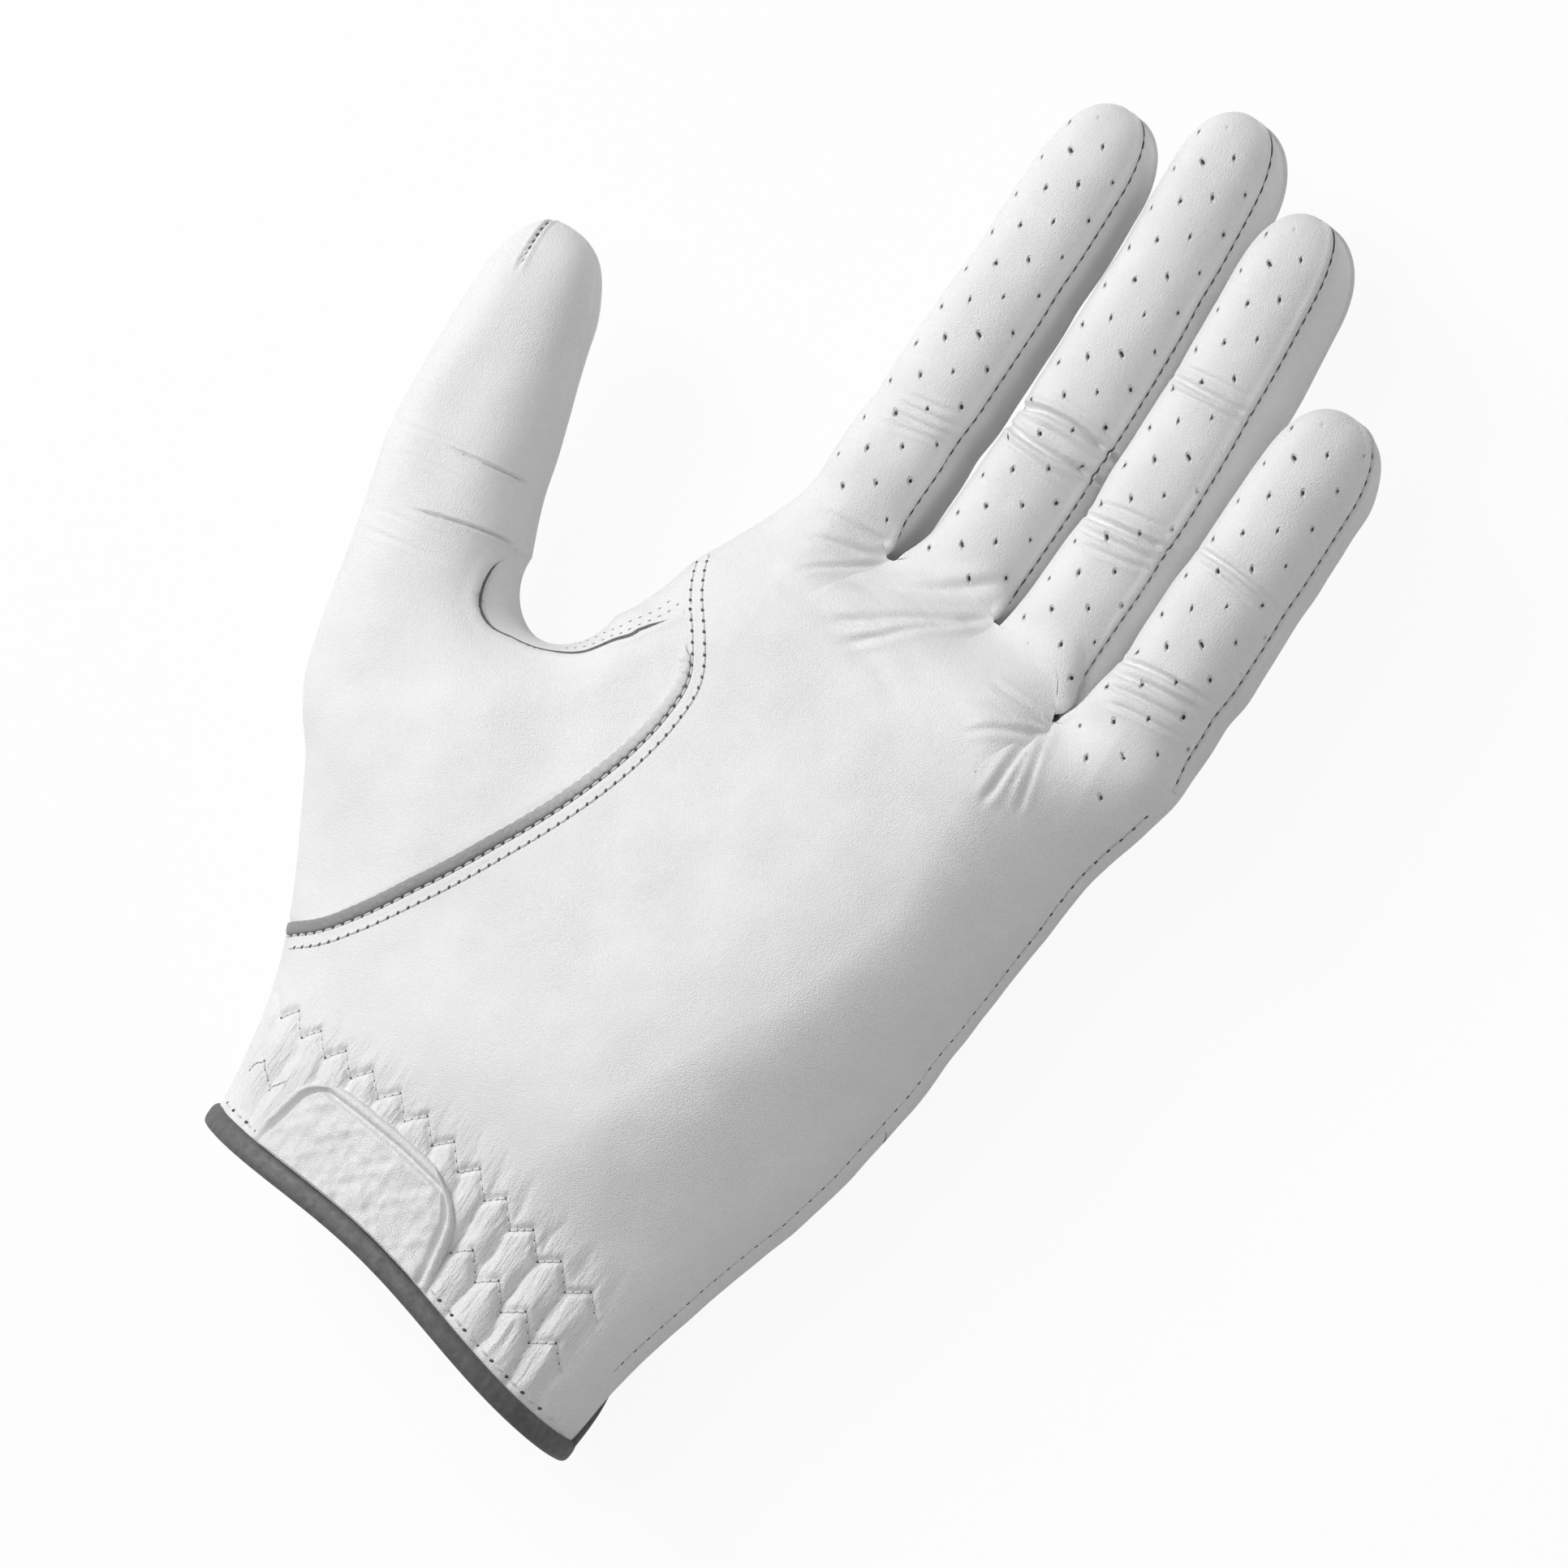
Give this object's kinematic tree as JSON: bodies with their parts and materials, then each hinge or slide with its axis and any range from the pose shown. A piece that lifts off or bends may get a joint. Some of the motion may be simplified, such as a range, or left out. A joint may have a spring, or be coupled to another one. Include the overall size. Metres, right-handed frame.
{
  "type": "golf glove",
  "caption": "Left-hand golf glove of thin white leather with bending fingers and thumb, web gusset, elastic wrist, bound cuff and a hook-and-loop tab.",
  "frame": {"origin": "middle of the box in X and Y, at the lowest point of the glove lying on its back", "axes": "+X to the little finger, +Y to the fingertips, +Z out of the palm"},
  "size_m": [0.1385, 0.2194, 0.0384],
  "materials": {
    "leather": "soft white glove leather with a fine grain",
    "side_leather": "white leather side strips",
    "binding": "dark grey woven binding",
    "piping": "grey leather piping",
    "elastic": "white woven elastic",
    "patch": "smooth creased leather patch",
    "loop": "white loop pile",
    "hook": "white hook tape"
  },
  "bodies": {
    "hand": {"palm_panel": "leather", "back_panel": "leather", "back_strip": "leather", "thumb_base": "leather", "web_gusset": "side_leather", "thumb_piping": "piping", "cuff_binding": "binding", "slit_binding": "binding", "wrist_elastic": "elastic", "palm_patch": "patch", "loop_pad": "loop"},
    "thumb_tip": {"thumb_end": "leather"},
    "closure": {"closure_tab": "leather", "hook_pad": "hook"},
    "index_base": {"index_base_palm": "leather", "index_base_back": "leather", "index_base_outer": "side_leather"},
    "index_tip": {"index_end_palm": "leather", "index_end_back": "leather", "index_end_outer": "side_leather"},
    "middle_base": {"middle_base_palm": "leather", "middle_base_back": "leather", "middle_base_inner": "side_leather", "middle_base_outer": "side_leather"},
    "middle_tip": {"middle_end_palm": "leather", "middle_end_back": "leather", "middle_end_inner": "side_leather", "middle_end_outer": "side_leather"},
    "ring_base": {"ring_base_palm": "leather", "ring_base_back": "leather", "ring_base_inner": "side_leather", "ring_base_outer": "side_leather"},
    "ring_tip": {"ring_end_palm": "leather", "ring_end_back": "leather", "ring_end_inner": "side_leather", "ring_end_outer": "side_leather"},
    "little_base": {"little_base_palm": "leather", "little_base_back": "leather", "little_base_inner": "side_leather"},
    "little_tip": {"little_end_palm": "leather", "little_end_back": "leather", "little_end_inner": "side_leather"}
  },
  "joints": [
    {"name": "index_knuckle", "type": "hinge", "parent": "hand", "child": "index_base", "pos_m": [0.00292, 0.02815, 0.0308], "axis": [1, 0, 0], "range_deg": [0, 80]},
    {"name": "index_bend", "type": "hinge", "parent": "index_base", "child": "index_tip", "pos_m": [0.00292, 0.04715, 0.0308], "axis": [1, 0, 0], "range_deg": [0, 95]},
    {"name": "middle_knuckle", "type": "hinge", "parent": "hand", "child": "middle_base", "pos_m": [0.02242, 0.02915, 0.0278], "axis": [1, 0, 0], "range_deg": [0, 80]},
    {"name": "middle_bend", "type": "hinge", "parent": "middle_base", "child": "middle_tip", "pos_m": [0.02242, 0.05515, 0.0278], "axis": [1, 0, 0], "range_deg": [0, 95]},
    {"name": "ring_knuckle", "type": "hinge", "parent": "hand", "child": "ring_base", "pos_m": [0.04122, 0.02715, 0.0303], "axis": [1, 0, 0], "range_deg": [0, 80]},
    {"name": "ring_bend", "type": "hinge", "parent": "ring_base", "child": "ring_tip", "pos_m": [0.04122, 0.04815, 0.0303], "axis": [1, 0, 0], "range_deg": [0, 95]},
    {"name": "little_knuckle", "type": "hinge", "parent": "hand", "child": "little_base", "pos_m": [0.06042, 0.02165, 0.0343], "axis": [1, 0, 0], "range_deg": [0, 80]},
    {"name": "little_bend", "type": "hinge", "parent": "little_base", "child": "little_tip", "pos_m": [0.06042, 0.03565, 0.0343], "axis": [1, 0, 0], "range_deg": [0, 95]},
    {"name": "thumb_bend", "type": "hinge", "parent": "hand", "child": "thumb_tip", "pos_m": [-0.05394, 0.00415, 0.0323], "axis": [1, 0, 0], "range_deg": [0, 70]},
    {"name": "closure_swing", "type": "hinge", "parent": "hand", "child": "closure", "pos_m": [0.05197, -0.07185, 0.01063], "axis": [-0.2707, -0.9627, 0.0022], "range_deg": [0, 140]}
  ]
}
